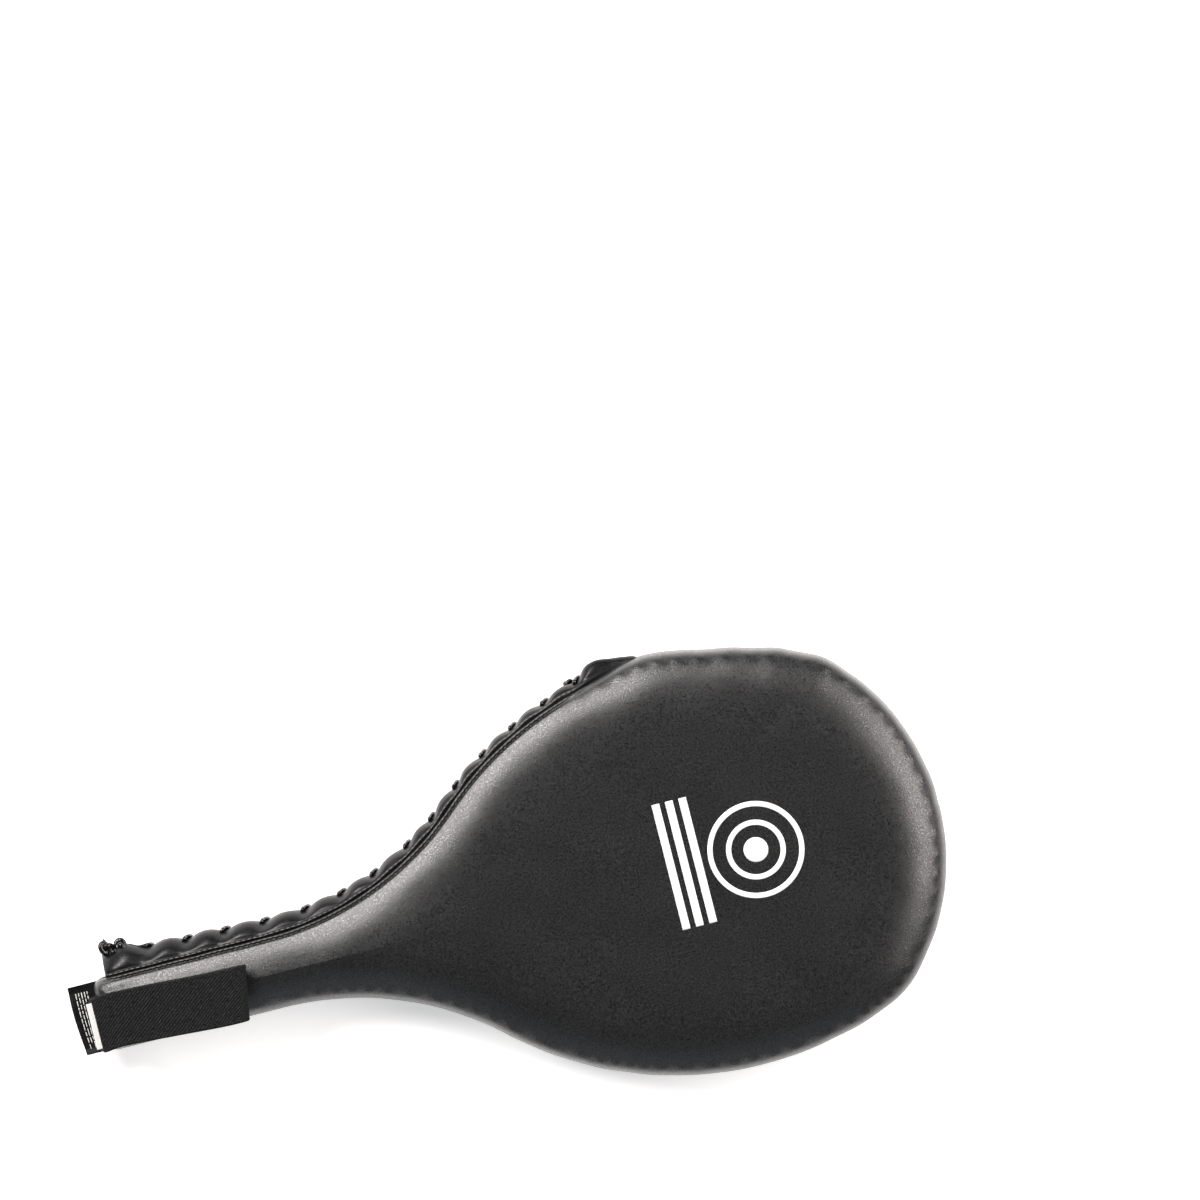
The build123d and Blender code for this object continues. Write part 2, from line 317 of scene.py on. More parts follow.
def join(name, objects):
    """Several mesh objects as one."""
    bm = bmesh.new()
    for obj in objects:
        bm.from_mesh(obj.data)
        bpy.data.objects.remove(obj)
    mesh = bpy.data.meshes.new(name)
    bm.to_mesh(mesh)
    bm.free()
    return add_object(name, mesh)


# ---- the outline
def base_outline():
    """The plan outline, anticlockwise from the tip, evenly spaced and the same on both sides."""
    points, heading = [np.array([TIP_X, 0.0])], 90.0
    for radius, turn in OUTLINE_ARCS:
        sign = 1 if turn > 0 else -1
        a = radians(heading)
        centre = points[-1] + sign * radius * np.array([-sin(a), cos(a)])
        for step in np.linspace(0, turn, 160)[1:]:
            b = radians(heading + step)
            points.append(centre + sign * radius * np.array([sin(b), -cos(b)]))
        heading += turn
    corner = np.array([END_X + END_CORNER, points[-1][1] - END_CORNER])
    for step in np.linspace(0, pi / 2, 40):
        points.append(corner + END_CORNER * np.array([-sin(step), cos(step)]))
    points.append(np.array([END_X, 0.0]))
    run = along_of(points)
    half = sampled(points, run, np.linspace(0, run[-1], OUTLINE_POINTS // 2 + 1))
    return np.vstack([half, half[-2:0:-1] * (1, -1)])


def normals_of(loop):
    """Outward plan normals of an anticlockwise loop."""
    tangent = np.roll(loop, -1, axis=0) - np.roll(loop, 1, axis=0)
    return unit(tangent[:, ::-1] * (1, -1))


def blur(values, sigma):
    """Smooths values round a closed loop."""
    reach = np.arange(-int(4 * sigma), int(4 * sigma) + 1)
    weights = np.exp(-0.5 * (reach / sigma) ** 2)
    pad = len(reach) // 2
    wrapped = np.concatenate([values[-pad:], values, values[:pad]])
    return np.convolve(wrapped, weights / weights.sum(), mode="valid")


plain_loop = base_outline()
plain_normal = normals_of(plain_loop)
plain_x = plain_loop[:, 0]
laced_side = (plain_loop[:, 1] > 0).astype(float)
bulge = BULGE_OUT * bell(plain_x, BULGE_X, BULGE_REACH) * laced_side
loop_run = np.arange(OUTLINE_POINTS) * POINT_SPACING
facets = FACET_HEIGHT * ripple(loop_run, 0 * loop_run, FACET_LENGTH, 3)
facets = facets * (0.25 + 0.75 * smoothstep(plain_x, -20, 60)) * smoothstep(plain_x, -270, -240)
loop = plain_loop + plain_normal * (bulge + facets)[:, None]
loop_normal = normals_of(loop)
laced_weight = laced_side * (1 - smoothstep(plain_x, -62, -12))
laced_weight *= smoothstep(plain_x, END_X + 0.5, END_X + 11)
laced_weight = np.clip(blur(laced_weight, 3), 0, 1)

# where the inward normal of each outline point meets the paddle's centre line
lean = np.where(np.abs(plain_normal[:, 1]) > 1e-3, plain_normal[:, 1], 1e-3)
medial_x = plain_x - plain_normal[:, 0] / lean * plain_loop[:, 1]
medial_x = np.where(plain_x > 60, MEDIAL_TIP, medial_x)
medial_x = np.where(plain_x < MEDIAL_END, MEDIAL_END, medial_x)
medial_x = blur(np.clip(medial_x, MEDIAL_END, MEDIAL_TIP), 5)
medial_x = (medial_x + np.roll(medial_x[::-1], 1)) / 2
medial = np.stack([medial_x, 0 * medial_x], axis=1)
medial_reach = np.linalg.norm(loop - medial, axis=1)


def edge_distance(points):
    """The distance in plan from each point to the outline, worked out in batches."""
    step = np.roll(loop, -1, axis=0) - loop
    square = (step**2).sum(1)
    out = np.empty(len(points))
    batch = 2000
    for low in range(0, len(points), batch):
        part = points[low:low + batch, None, :]
        t = np.clip(((part - loop) * step).sum(2) / square, 0, 1)
        out[low:low + batch] = np.sqrt((((loop + t[..., None] * step) - part) ** 2).sum(2)).min(1)
    return out


closed_roll = smooth_table(CLOSED_ROLL, 0.35)
laced_roll = smooth_table(LACED_ROLL, 0.9)


def roll(distance, weight, ridge=0.0):
    """The cover's height at a distance in. weight is 1 on the laced side, 0 on the closed one."""
    return closed_roll(distance) * (1 - weight) + (laced_roll(distance) + ridge) * weight


def face_detail(x, y, seed):
    """The face's slight unevenness: broad ripples, and a faint crease on the front."""
    broad = 0.16 * ripple(x, y, 70, seed) + 0.07 * ripple(x, y, 30, seed + 1)
    along = (x - CREASE_X) * CREASE_COS + (y - CREASE_Y) * CREASE_SIN
    across = -(x - CREASE_X) * CREASE_SIN + (y - CREASE_Y) * CREASE_COS
    crease = np.exp(-((along / CREASE_LENGTH) ** 2) - (across / CREASE_WIDTH) ** 2)
    return broad - CREASE_DEPTH * crease * (seed == FRONT_SEED)


def cover_height(x, y, distance, weight, run, seed):
    """Height of the cover above mid thickness. run is the distance round the edge."""
    ridge = ridges(distance, COVER_RIDGE)
    gather = np.sin(run * tau / GATHER_PITCH + 2.2 * ripple(run, 0 * run, 60, seed + 5))
    gather = bell(distance, *GATHERS) * (1 - weight) * GATHER_HEIGHT * gather
    pucker = bell(distance, *PUCKERS) * weight * (0.3 + 0.7 * (1 - smoothstep(x, -268, -235)))
    pucker = pucker * PUCKER_HEIGHT * np.sin(run * tau / STITCH)
    pulled = smoothstep(-x, 258, 276) * smoothstep(y, 2, 14) * smoothstep(distance, 3, 9)
    detail = face_detail(x, y, seed) * smoothstep(distance, 3, 16)
    return roll(distance, weight, ridge) + gather + pucker + detail - PULL_DEPTH * pulled


def cover(name, side, seed):
    """One face of the cover, from its seam in to the centre line. side is 1 or -1 (behind)."""
    shrink = np.minimum(1.0, 0.9 * medial_reach / EDGE_RINGS[-1])
    rings = [distance * shrink for distance in EDGE_RINGS]
    last = rings[-1]
    rings += [last + (medial_reach - last) * k / INNER_RINGS for k in range(1, INNER_RINGS + 1)]
    share = np.array(rings) / medial_reach
    flat = (loop[None] + (medial - loop)[None] * share[..., None]).reshape(-1, 2)
    weight = (laced_weight[None] * (1 - share**2) + 0.5 * share**2).ravel()
    run = np.tile(loop_run, len(rings))
    height = cover_height(flat[:, 0], flat[:, 1], edge_distance(flat), weight, run, seed)
    verts = np.column_stack([flat, MID_Z + side * np.maximum(height, 0.15)])
    verts[:, 2] = np.maximum(verts[:, 2], 0.0)
    faces = grid_faces(len(rings), OUTLINE_POINTS, wrap=True, flip=side < 0)
    return thicken(weld(mesh_object(name, verts, faces)), COVER_SKIN)


def filling(name, side, seed, bottom, top):
    """A foam layer. bottom and top give its heights from the height of the cover's inside."""
    pick = np.arange(0, OUTLINE_POINTS, 4)
    reach = medial_reach[pick]
    first, last = FILLING_RINGS[0], FILLING_RINGS[-1]
    shrink = np.minimum(1, (0.92 * reach - first) / (last - first))
    shares = [(first + (ring - first) * shrink) / reach for ring in FILLING_RINGS]
    plan, roof = [], []
    for share in shares + [np.ones_like(reach)]:
        spot = loop[pick] + (medial - loop)[pick] * share[:, None]
        inset = edge_distance(spot)
        under = cover_height(spot[:, 0], spot[:, 1], inset, 0 * reach, loop_run[pick], seed)
        plan.append(spot)
        roof.append(np.minimum(under, closed_roll(inset)) - COVER_SKIN - FILLING_GAP)
    levels = [(spot, bottom(high)) for spot, high in zip(plan[::-1], roof[::-1])]
    levels += [(spot, top(high)) for spot, high in zip(plan, roof)]
    rows = [np.column_stack([spot, MID_Z + side * level]) for spot, level in levels]
    faces = grid_faces(len(rows), len(pick), wrap=True, flip=side < 0)
    return weld(mesh_object(name, np.vstack(rows), faces))


# ---- the laced edge
flap_widths = smooth_table(FLAP_WIDTHS, 1.5)


class LacedEdge:
    """The flap's geometry, column by column from the blade to the handle end."""

    def __init__(self):
        x, y = loop.T
        pick = np.where((x > FLAP_START_X) & (x < FLAP_END_X) & (y > 0))[0]
        self.root, self.out = loop[pick], loop_normal[pick]
        self.weight = laced_weight[pick]
        self.width = flap_widths(self.root[:, 0])
        self.root_height = roll(FLAP_LAP, self.weight) - 0.35
        self.run = along_of(self.root + self.out * self.width[:, None])
        rise = 1 - FLAP_BOW + FLAP_BOW * pi / 2
        self.seam_rate = np.hypot((self.width + FLAP_LAP) * rise, self.root_height * (1 - FLAP_BOW))
        self.edge_rate = np.hypot(self.width * (1 - FLAP_BOW), self.root_height * rise)
        order = np.argsort(self.root[:, 0])
        ends = (FIRST_CROSSING_X, LAST_CROSSING_X)
        first, last = np.interp(ends, self.root[order, 0], self.run[order])
        self.places = np.linspace(first, last, CROSSINGS)
        self.places[1:-1] += rng.uniform(-CROSSING_SCATTER, CROSSING_SCATTER, CROSSINGS - 2)
        self.pitch = (first - last) / (CROSSINGS - 1)

    def phase(self, run):
        """Counts crossings along the edge: a whole number at each."""
        before, after = self.places[0] + self.pitch, self.places[-1] - self.pitch * 1.15
        grown = np.concatenate([[before], self.places, [after]])
        return np.interp(run, grown[::-1], np.arange(len(grown))[::-1])

    def section(self, share, side=1):
        """Distance out, height and outward direction at a share of the way from seam to edge."""
        phase = self.phase(self.run - LOBE_LEAN * (1 - share)) + (BACK_PHASE if side < 0 else 0)
        lobe = np.sin(pi * phase) ** 2
        edge_lobe = np.sin(pi * self.phase(self.run)) ** 2
        full = np.clip(self.width / 3, 0, 1)
        reach = self.width - 0.8 * (1 - edge_lobe) ** 2 * full + 0.9 * edge_lobe * full
        edge_height = np.minimum(0.5 + 0.8 * edge_lobe, self.root_height)
        span, drop = reach + FLAP_LAP, self.root_height - edge_height
        turn, straight = share * pi / 2, 1 - FLAP_BOW
        out = -FLAP_LAP + span * (straight * share + FLAP_BOW * np.sin(turn))
        height = edge_height + drop * (straight * (1 - share) + FLAP_BOW * np.cos(turn))
        slope_up = span * (straight + FLAP_BOW * pi / 2 * np.cos(turn))
        slope_out = drop * (straight + FLAP_BOW * pi / 2 * np.sin(turn))
        normal = unit(np.stack([slope_out, slope_up], axis=1))
        swell = (4 * share * (1 - share)) ** 0.75
        puff = swell * (LOBE_PUFF * lobe**0.6 - LOBE_PINCH) * np.minimum(1, span / 6)
        along = share * self.seam_rate
        ridge = ridges(along, FLAP_RIDGE)
        fine = 0.07 * ripple(self.run, along * 2.5, 11, 31 + side) * swell
        lift = puff + ridge * np.minimum(1, self.weight * 1.3) + fine
        tuck = FLAP_TUCK * smoothstep(self.root[:, 0], FLAP_END_X - 9, FLAP_END_X - 3)
        return out + normal[:, 0] * lift - tuck, height + normal[:, 1] * lift, normal

    def hole(self, place, side):
        """At a crossing: the seam point and outward direction in plan, the hole's (out, height)
        and its outward direction, and how far out the edge is."""
        def here(columns):
            return sampled(columns, self.run, [place])[0]

        out, height, normal = self.section(1 - HOLE_INSET / self.edge_rate, side)
        *hole, rim = here(np.column_stack([out, height, self.section(1.0, side)[0]]))
        return here(self.root), here(self.out), np.array(hole), here(normal), rim


edge = LacedEdge()


def flap(side):
    """One lacing flap: it falls from the seam to the edge, puffed out between the crossings."""
    last = FLAP_SEAM_ROWS[-1]
    shares = [np.minimum(along / edge.seam_rate, 0.5 * along / last) for along in FLAP_SEAM_ROWS]
    start = shares[-1]
    shares += [start + (1 - start) * k / FLAP_ROWS for k in range(1, FLAP_ROWS + 1)]
    rows, closing = [], 0.2
    for share in shares:
        out, height, _ = edge.section(share, side)
        plan = edge.root + edge.out * out[:, None]
        rows.append(np.column_stack([plan, MID_Z + side * np.maximum(height, closing)]))
    lip = rows[-1].copy()
    lip[:, :2] -= edge.out * 0.9
    lip[:, 2] = MID_Z + side * closing
    verts = np.vstack(rows + [lip])
    faces = grid_faces(len(rows) + 1, len(edge.run), flip=side > 0)
    return thicken(mesh_object("flap", verts, faces), FLAP_SKIN)


def facing():
    """The strip behind the flaps that closes the cover at the handle's end."""
    pick = np.where((laced_weight > 0.02) & (loop[:, 0] < FACING_END_X))[0]
    plan = loop[pick] - loop_normal[pick] * FACING_INSET
    half = roll(FACING_INSET, laced_weight[pick]) - COVER_SKIN - 0.1
    rows = [np.column_stack([plan, MID_Z + share * half]) for share in (-1, -0.5, 0, 0.5, 1)]
    faces = grid_faces(len(rows), len(pick))
    return thicken(mesh_object("facing", np.vstack(rows), faces), FLAP_SKIN)


def end_gusset():
    """The leather folded in across the flaps' open end, under the knots."""
    column = int(np.argmin(np.abs(edge.root[:, 0] - GUSSET_X)))
    between = np.linspace(0, 1, 9)
    rows = []
    for k, share in enumerate([0.0, *np.linspace(0, 1, 14)]):
        front, back = ([values[column] for values in edge.section(share, s)] for s in (1, -1))
        out = min(front[0], back[0]) - 0.4 if k else -FACING_INSET - 0.2
        top, bottom = front[1] - 0.45, 0.45 - back[1]
        x, y = edge.root[column] + edge.out[column] * out
        fold = GUSSET_FOLD * np.sin(between * pi)
        level = MID_Z + bottom + (top - bottom) * between
        rows.append(np.column_stack([x + fold, np.full_like(fold, y), level]))
    faces = grid_faces(len(rows), len(between))
    return thicken(mesh_object("gusset", np.vstack(rows), faces), FLAP_SKIN * 0.8)


def stitches(name, path, ups, pitch, fill=0.66, radius=0.3):
    """A row of stitches: short rounded threads whose ends sink into the leather."""
    run = along_of(path)
    sides, taper = 6, (0.35, 0.9, 1.0, 0.9, 0.35)
    stations = np.linspace(-1, 1, len(taper))
    quads = grid_faces(len(taper), sides, wrap=True)
    verts, faces = [], []
    for k in range(int(run[-1] // pitch)):
        centre = (k + 0.5) * pitch
        points = sampled(path, run, centre + stations * pitch * fill / 2)
        up = sampled(ups, run, [centre])[0]
        up /= np.linalg.norm(up)
        side = np.cross(points[-1] - points[0], up)
        side /= np.linalg.norm(side)
        points = points + up * (radius * 0.55 - 0.28 * stations[:, None] ** 2)
        base = len(verts)
        for point, scale in zip(points, taper):
            for a in np.arange(sides) * tau / sides:
                verts.append(point + radius * scale * (cos(a) * side + sin(a) * up))
        faces += [tuple(base + i for i in quad) for quad in quads]
        faces.append(tuple(range(base + sides - 1, base - 1, -1)))
        faces.append(tuple(range(len(verts) - sides, len(verts))))
    return mesh_object(name, verts, faces)


def cover_row(pick, distance, side, seed):
    """Points and upward directions on the cover at a distance in, over some outline points."""
    plan = loop[pick] - loop_normal[pick] * distance
    step = 0.6
    here, beyond = (
        cover_height(*plan.T, np.full(len(pick), inset), laced_weight[pick], loop_run[pick], seed)
        for inset in (distance, distance + step)
    )
    slope = (beyond - here) / step
    up = np.column_stack([loop_normal[pick] * slope[:, None], np.full(len(pick), side)])
    return np.column_stack([plan, MID_Z + side * here]), unit(up)


def flap_row(distance, side):
    """Points and outward directions on the flap at a distance from its seam."""
    out, height, _ = edge.section(np.minimum(distance / edge.seam_rate, 1), side)
    keep = (edge.weight > 0.6) & (edge.root[:, 0] > FLAP_START_X + 1)
    plan = edge.root + edge.out * out[:, None]
    points = np.column_stack([plan, MID_Z + side * height])[keep]
    return points, unit(np.column_stack([edge.out, np.full(len(plan), side)])[keep])


# ---- cord and knots
def lace_path():
    """The cord's route from the big knot to the far end, in and out round the flaps' edge."""
    middle = sum(cad("handle_end_knot")) / 2
    knots = [middle + KNOT_FIRST, middle + KNOT_SECOND]

    def spot(place, where, side=1):
        root, away, hole, normal, rim = edge.hole(place, side)
        out, height = {
            "hole": hole + normal * 0.85,
            "inside": (hole[0] - 2.2, 0.0),
            "rim": (rim + 0.75, 1.0),
            "lip": (rim - 0.6, 2.2),
        }[where]
        return [*(root + away * out), MID_Z + side * height]

    places = edge.places
    route = [knots[1] + (1.5, -0.5, 1.0)]
    route += [spot(places[0] + before, "lip") for before in (8.5, 4.5)]
    lean, beyond = 1.3, 2.4
    for k, place in enumerate(places):
        if k > 0:
            route += [spot(place + lean + beyond, "inside"), spot(place + lean, "hole")]
        route += [spot(place + lean / 2, "rim"), spot(place - lean / 2, "rim", -1)]
        route += [spot(place - lean, "hole", -1), spot(place - lean - beyond, "inside")]
    stop = route[-1] = sum(cad("far_end_knot")) / 2
    return curve_through(route, 0.45), knots, stop


def turned(points, tilt, spin):
    """Points tilted about X and then spun about Z."""
    c, s = cos(tilt), sin(tilt)
    about_x = np.array([[1, 0, 0], [0, c, -s], [0, s, c]])
    c, s = cos(spin), sin(spin)
    about_z = np.array([[c, -s, 0], [s, c, 0], [0, 0, 1]])
    return points @ about_x.T @ about_z.T


def knot_turns(centre, radius, cord, tilt, spin=0.0, stretch=(1, 1, 1)):
    """A tightly tied knot: one cord wound twice about and three times through a ring."""
    t = np.linspace(0, tau, 200)
    ring = 1 + 0.5 * np.cos(3 * t)
    points = np.stack([ring * np.cos(2 * t), ring * np.sin(2 * t), 0.75 * np.sin(3 * t)], axis=1)
    points = turned(points * radius * np.array(stretch), tilt, spin)
    return tube("turns", centre + points, cord, 14)


def wraps(centre, radii, cord, turns, pitch, tilt, spin):
    """Turns of cord wound side by side round a bundle."""
    t = np.linspace(0, turns, int(turns * 40))
    wide, high = radii
    points = np.stack([wide * np.cos(t * tau), (t - turns / 2) * pitch,
                       high * np.sin(t * tau)], axis=1)
    return tube("wrap", centre + turned(points, tilt, spin), cord, 12)


def cut_end(start, direction, length, cord):
    """A cord's cut end, heated to a point."""
    ahead = np.array(direction, float) / np.linalg.norm(direction) * length
    path = curve_through([start, start + ahead * 0.5, start + ahead], 0.3)
    taper = 1 - smoothstep(along_of(path), length * 0.35, length) * 0.85
    return tube("cut_end", path, cord, 10, taper)


# ---- webbing and labels
def twill(run, aside, half, period, depth, angle):
    """Height of a twill weave: slanting ribs of beads that fade out at the woven edge."""
    c, s = cos(angle), sin(angle)
    rib = (aside * c - run * s) * tau / period
    bead = (run * c + aside * s) * tau / (1.7 * period)
    shift = ripple(run, aside, 5.0, 41)
    beads = np.sin(bead + 2.0 * shift + 3.14 * np.floor(rib / tau))
    wave = np.sin(rib + 0.5 * shift) * (0.75 + 0.25 * beads)
    inside = 1 - smoothstep(np.abs(aside), half - 1.5, half - 0.9)
    return depth * wave * inside + 0.10 * (1 - inside)


def ribbon(name, path, width, thickness, centre_y, spacing, across, shape=None, ribs=None):
    """A woven band: a centreline in the XZ plane, swept across Y as a closed rounded solid."""
    line = curve_through(path, spacing)
    run = along_of(line)
    tangent = unit(np.gradient(line, axis=0))
    normal = tangent[:, ::-1] * (-1, 1)
    half, thin = width / 2, thickness / 2
    top = np.linspace(-half + thin, half - thin, across)
    bends = [(thin * (1 - sin(a)), thin * cos(a)) for a in (0.8, 1.57, 2.34)]
    section = [(y, thin, 1) for y in top]
    section += [(half - inset, lift, 0) for inset, lift in bends]
    section += [(y, -thin, -1) for y in top[::-1]]
    section += [(-half + inset, -lift, 0) for inset, lift in bends]
    across_y, lift, face = np.array(section).T
    high = np.tile(lift, (len(line), 1))
    if ribs:
        high = high + face[None] * twill(run[:, None], across_y[None], half, *ribs)
    x = line[:, :1] + normal[:, :1] * high
    z = line[:, 1:] + normal[:, 1:] * high
    y = np.tile(centre_y + across_y, (len(line), 1))
    if shape:
        x, y, z = shape(x, y, z)
    verts = np.stack([x, y, z], axis=2).reshape(-1, 3)
    count = len(section)
    faces = grid_faces(len(line), count, wrap=True)
    faces.append(tuple(range(count))[::-1])
    faces.append(tuple(range(len(verts) - count, len(verts))))
    return mesh_object(name, verts, faces, [(along, aside) for along in run for aside in across_y])


strap_low, strap_high = cad("wrist_strap")
root_low, root_high = cad("strap_root")
STRAP_Y = (strap_low[1] + strap_high[1]) / 2
STRAP_WIDTH = strap_high[1] - strap_low[1]
WEB = 1.2
RIBS = (1.2, 0.08, 0.70)
HINGE_X, HINGE_Z = strap_low[0] + WEB, root_high[2] + 1.5


def wrist_webbing():
    """The elastic: from the end seam up, over the fold, along the handle and back the same way."""
    far, high, low = strap_high[0] - WEB / 2, strap_high[2] - WEB / 2, strap_low[2] + WEB / 2
    foot_out, foot_in, foot_z = root_low[0] + WEB / 2, root_low[0] + 1.5 * WEB, root_low[2]
    path = [
        (foot_in + 1.2, foot_z - 0.6), (foot_out, foot_z + 1.0), (foot_out, foot_z + 6.0),
        (foot_out + 1.3, HINGE_Z - 7.2), (foot_out + 2.2, HINGE_Z - 2.2),
        (HINGE_X + 0.2, HINGE_Z + 0.55), (HINGE_X + 6, HINGE_Z + 1.0),
        (HINGE_X + 26, HINGE_Z + 3.2), (far - 22, high - 1.4), (far - 8, high),
        (far - 1.9, high - 1.3), (far, high - 4.2), (far - 1.9, low + 1.2), (far - 7, low),
        (far - 22, low), (far - 45, low), (HINGE_X + 5, low + 0.1), (HINGE_X + 1.2, low - 1.0),
        (foot_in + 2.3, HINGE_Z - 5.5), (foot_in + 1.0, HINGE_Z - 10.5), (foot_in, foot_z + 6.0),
        (foot_in, foot_z + 1.4), (foot_in + 1.4, foot_z - 0.3),
    ]

    def shape(x, y, z):
        outwards = smoothstep(x, HINGE_X, far)
        fold = smoothstep(x, far - 30, far)
        new_x = x + (y - STRAP_Y) * 0.17 * fold - 1.2 * fold
        new_y = y - 2.6 * outwards + 0.9 * smoothstep(x, HINGE_X - 1, HINGE_X + 8)
        swell = 0.35 * np.sin((x - HINGE_X) / 17) * smoothstep(z, low + 1.5, low + 3.5)
        return new_x, new_y, z + swell * smoothstep(x, HINGE_X + 5, HINGE_X + 20)

    return ribbon("wrist_webbing", path, STRAP_WIDTH, WEB, STRAP_Y, 0.3, 86, shape, RIBS)


label_low, label_high = cad("care_label")
label_mid = (label_low + label_high) / 2
LABEL_Y = label_mid[1] - 0.5


def label_shape(x, y, z):
    """The satin's easy set: it bows outwards, waves across its width and stands slightly askew."""
    reach = np.clip((label_high[0] - x) / (label_high[0] - label_low[0]), 0, 1)
    aside = y - LABEL_Y
    wave = 0.5 * np.sin(aside / 6.5 + 0.6) + 0.2 * np.sin(aside / 2.9)
    curl = 1.5 * smoothstep(np.abs(aside), LABEL_WIDTH / 2 - 3.0, LABEL_WIDTH / 2) * reach
    bow = -0.9 * (1 - (2 * aside / LABEL_WIDTH) ** 2) + 0.6
    return x + (bow - 0.045 * aside) * reach, y, z + wave * reach + curl - 0.5 * reach**2


def care_label():
    """A satin label folded double, with its fold outwards."""
    far, root, level = label_low[0] + 0.6, label_high[0] + 6.5, label_mid[2]
    path = [
        (root, level + 0.3), (root - 4, level + 0.3), (root - 8, level + 0.4),
        (far + 3.2, level + 0.45), (far + 0.9, level + 0.55), (far + 0.1, level),
        (far + 0.9, level - 0.5), (far + 3.2, level - 0.25), (root - 8, level - 0.2),
        (root - 4, level - 0.2), (root, level - 0.2),
    ]
    return ribbon("care_label_satin", path, LABEL_WIDTH, SATIN, LABEL_Y, 0.3, 80, label_shape)


def label_lines():
    """The label's print, as plain broken bars."""
    start_x = cad("care_label_lines")[0][0]
    level = label_mid[2] + 0.45 + SATIN / 2 + 0.06
    patches = []
    for x, length, width in LABEL_BARS:
        start = LABEL_Y + BAR_REACH
        end = start - 25.0 * length
        while start > end:
            run = rng.uniform(1.3, 3.6)
            ys = np.linspace(start, max(start - run, LABEL_Y - 13.5), 6)
            grid = np.array([[(x + half, y) for y in ys] for half in (-width / 2, width / 2)])
            top = label_shape(start_x + grid[..., 0], grid[..., 1], level)
            patches.append(slab("bar", np.stack(top, axis=2), BAR_THICKNESS))
            start -= run + rng.uniform(0.45, 0.8)
    return join("care_label_bars", patches)


def folded_tag():
    """The small white tag, sewn in beside the strap: its fold looks outwards."""
    low, high = cad("origin_label")
    far, near, level = low[0], high[0] + 0.7, (low[2] + high[2]) / 2
    path = [(near, level - 0.1), (far + 0.5, level + 0.1), (far, level - 0.12),
            (far + 0.5, level - 0.34), (near, level - 0.5)]
    middle_y = (low[1] + high[1]) / 2
    return ribbon("woven_tag", path, high[1] - low[1], TAG_THICKNESS, middle_y, 0.2, 60)


def bartack():
    """Two rows of close stitches across the foot of the strap."""
    low, high = cad("strap_bartack")
    y = np.linspace(low[1], high[1], 40)
    x, outwards = np.full_like(y, root_low[0] - 0.02), np.tile((-1.0, 0.0, 0.0), (len(y), 1))
    rows = []
    for z in (low[2] + 0.3, high[2] - 0.3):
        path = np.column_stack([x, y, z + 0.25 * np.sin(y * 2.4)])
        rows.append(stitches("row", path, outwards, 1.5, fill=0.8, radius=0.24))
    return join("strap_bartacks", rows)


def slab(name, grid, thickness, wrap=False):
    """A thin closed plate from a grid of top points."""
    rows, columns = grid.shape[:2]
    top = grid.reshape(-1, 3)
    n = len(top)
    faces = grid_faces(rows, columns, wrap=wrap)
    faces += [tuple(i + n for i in f[::-1]) for f in faces]
    if wrap:
        rim = [(c, (c + 1) % columns) for c in range(columns)]
        rim += [(n - columns + b, n - columns + a) for a, b in rim]
    else:
        ring = [*range(columns), *range(2 * columns - 1, n, columns)]
        ring += [*range(n - 2, n - columns - 1, -1), *range(n - 2 * columns, 0, -columns)]
        rim = zip(ring, ring[1:] + ring[:1])
    faces += [(b, a, a + n, b + n) for a, b in rim]
    return mesh_object(name, np.vstack([top, top - (0, 0, thickness)]), faces)


def ink_on_face(name, x, y, wrap=False):
    """A patch of print laid on the front face, from a grid of places."""
    z = FACE_Z + face_detail(x, y, FRONT_SEED) + INK
    return slab(name, np.stack([x, y, z], axis=2), 2 * INK, wrap)


def printed_disc(word, stroke):
    """A printed ring, or a full disc if there is no stroke."""
    low, high = cad("print_" + word)
    centre, radius = (low + high) / 2, (high[0] - low[0]) / 2
    inner = 0.02 if stroke is None else radius - stroke
    rows, columns = DISC_GRID
    size = np.linspace(inner, radius, rows)[::-1, None]
    a = np.linspace(0, tau, columns, endpoint=False)
    x, y = centre[0] + size * np.cos(a), centre[1] + size * np.sin(a)
    return ink_on_face(word + "_mark", x, y, wrap=True)


def printed_bars():
    """Plain bars side by side."""
    low, high = cad("print_bars")
    half, bars = PRINT_BAR_WIDTH / 2, []
    for middle in np.linspace(low[0] + half, high[0] - half, PRINT_BARS):
        x = np.linspace(middle - half, middle + half, 5)
        bars.append(ink_on_face("bar", *np.meshgrid(x, np.linspace(low[1], high[1], 60))))
    return join("bar_marks", bars)


# ---- materials
def set_sockets(node, sockets):
    for name, value in sockets.items():
        node.inputs[name.replace("_", " ")].default_value = value


